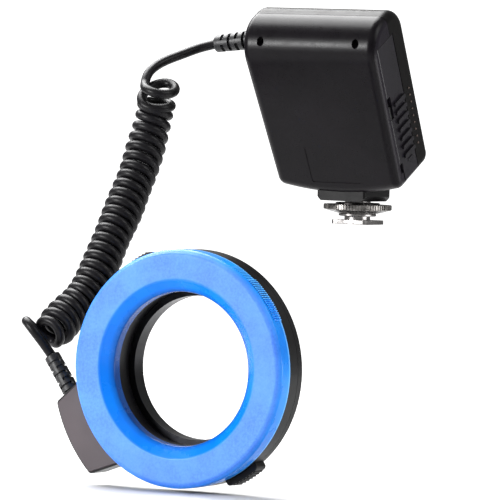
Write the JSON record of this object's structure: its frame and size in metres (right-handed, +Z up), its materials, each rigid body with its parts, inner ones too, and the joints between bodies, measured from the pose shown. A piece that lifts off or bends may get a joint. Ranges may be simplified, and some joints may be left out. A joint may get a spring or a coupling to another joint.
{
  "type": "macro ring flash",
  "caption": "Macro ring flash: a leaning control unit on a hot-shoe foot, joined by a curly cord to a ring head with a blue filter, side cable box and lens adapter ring.",
  "frame": {"origin": "middle of the underside of the hot-shoe foot", "axes": "+Z up, -Y the way the ring head faces, +X to the right for someone who faces the ring head"},
  "size_m": [0.1408, 0.1783, 0.213],
  "materials": {
    "black_shell": "satin, fine texture",
    "black_rim": "satin",
    "clear_blue": "translucent, frosted band with clear lips",
    "clear_window": "clear, slightly frosted",
    "display_window": "smoked, clear",
    "display": "grey-green display",
    "grey_plate": "fine matt",
    "black_metal": "black plated, knurled rim",
    "bright_metal": "plated steel",
    "spring_steel": "bright",
    "brass_contact": "plated brass",
    "circuit_board": "solder mask",
    "lamp_resin": "clear resin",
    "cell_jacket": "printed sleeve, bare",
    "cord_rubber": "satin black",
    "button_rubber": "dark grey matt",
    "adapter_alloy": "black anodised"
  },
  "bodies": {
    "flash": {"front_housing": "black_shell", "rear_housing": "black_shell", "housing_screws": "bright_metal", "lcd_window": "display_window", "lcd_panel": "display", "main_circuit_board": "circuit_board", "board_screws": "bright_metal", "tact_switches": "black_rim", "slide_switch_body": "black_rim", "battery_tray": "black_rim", "battery_cells": "cell_jacket", "battery_contacts": "brass_contact", "battery_springs": "spring_steel", "door_hinge_pin": "bright_metal", "foot_block": "black_shell", "foot_screws": "bright_metal", "shoe_foot": "bright_metal", "lock_stem": "bright_metal", "contact_spring": "spring_steel", "contact_plug": "black_rim", "strain_relief_upper": "cord_rubber", "cord_upper_tail": "cord_rubber", "cord_coil": "cord_rubber", "cord_lower_tail": "cord_rubber", "strain_relief_lower": "cord_rubber", "diffuser_window": "clear_window", "led_board": "circuit_board", "led_lamps": "lamp_resin", "ring_front_housing": "black_rim", "ring_rear_cover": "black_rim", "ring_screws": "bright_metal", "cable_box_plate": "grey_plate", "cable_box_board": "circuit_board", "release_springs_a": "spring_steel", "release_springs_b": "spring_steel"},
    "clamp_plate": {"clamp_plate": "bright_metal"},
    "lock_wheel": {"lock_wheel": "black_metal"},
    "centre_contact": {"centre_contact": "brass_contact"},
    "hinge_bracket": {"door_hinge_bracket": "black_metal"},
    "battery_door": {"battery_door": "black_shell", "door_contacts": "spring_steel"},
    "button_mode": {"button_mode": "button_rubber"},
    "button_light": {"button_light": "button_rubber"},
    "button_test": {"button_test": "button_rubber"},
    "button_down": {"button_down": "button_rubber"},
    "button_up": {"button_up": "button_rubber"},
    "power_switch": {"power_switch": "button_rubber"},
    "release_button_a": {"release_button_a": "black_rim"},
    "release_button_b": {"release_button_b": "black_rim"},
    "adapter_ring": {"adapter_ring": "adapter_alloy"},
    "filter_ring": {"filter_ring": "clear_blue"}
  },
  "joints": [
    {"name": "clamp_lift", "type": "slide", "parent": "flash", "child": "clamp_plate", "axis": [0, 0, 1], "range_m": [0, 0.0006]},
    {"name": "wheel_turn", "type": "hinge", "parent": "clamp_plate", "child": "lock_wheel", "pos_m": [0, 0, 0.0075], "axis": [0, 0, 1], "range_deg": [0, 288.1]},
    {"name": "contact_press", "type": "slide", "parent": "flash", "child": "centre_contact", "axis": [0, 0, 1], "range_m": [0, 0.0003], "stiffness_N_per_m": 2500, "springref_m": -0.0004, "deforming": ["contact_spring"]},
    {"name": "door_swing", "type": "hinge", "parent": "flash", "child": "hinge_bracket", "pos_m": [0.03147, -0.02592, 0.04053], "axis": [-0.0358, 0.4921, -0.8698], "range_deg": [0, 90]},
    {"name": "door_slide", "type": "slide", "parent": "hinge_bracket", "child": "battery_door", "axis": [-0.0358, 0.4921, -0.8698], "range_m": [0, 0.004]},
    {"name": "press_mode", "type": "slide", "parent": "flash", "child": "button_mode", "axis": [0, -0.8704, -0.4924], "range_m": [0, 0.0004], "stiffness_N_per_m": 3000, "springref_m": -0.0003},
    {"name": "press_light", "type": "slide", "parent": "flash", "child": "button_light", "axis": [0, -0.8704, -0.4924], "range_m": [0, 0.0004], "stiffness_N_per_m": 3000, "springref_m": -0.0003},
    {"name": "press_test", "type": "slide", "parent": "flash", "child": "button_test", "axis": [0, -0.8704, -0.4924], "range_m": [0, 0.0004], "stiffness_N_per_m": 3000, "springref_m": -0.0003},
    {"name": "press_down", "type": "slide", "parent": "flash", "child": "button_down", "axis": [0, -0.8704, -0.4924], "range_m": [0, 0.0004], "stiffness_N_per_m": 3000, "springref_m": -0.0003},
    {"name": "press_up", "type": "slide", "parent": "flash", "child": "button_up", "axis": [0, -0.8704, -0.4924], "range_m": [0, 0.0004], "stiffness_N_per_m": 3000, "springref_m": -0.0003},
    {"name": "power_slide", "type": "slide", "parent": "flash", "child": "power_switch", "axis": [1, 0, 0], "range_m": [0, 0.004]},
    {"name": "release_a", "type": "slide", "parent": "flash", "child": "release_button_a", "axis": [-0.5299, 0, 0.848], "range_m": [0, 0.0015], "stiffness_N_per_m": 1500, "springref_m": -0.001, "deforming": ["release_springs_a"]},
    {"name": "release_b", "type": "slide", "parent": "flash", "child": "release_button_b", "axis": [0.5299, 0, -0.848], "range_m": [0, 0.0015], "stiffness_N_per_m": 1500, "springref_m": -0.001, "deforming": ["release_springs_b"]},
    {"name": "adapter_spin", "type": "hinge", "parent": "flash", "child": "adapter_ring", "pos_m": [0, -0.1416, -0.0618], "axis": [0, 1, 0], "continuous": true},
    {"name": "filter_off", "type": "slide", "parent": "flash", "child": "filter_ring", "axis": [0, -1, 0], "range_m": [0, 0.025]}
  ],
  "couplings": [
    {"joint": "wheel_turn", "follows": "clamp_lift", "rad_per_m": 8377.6}
  ]
}
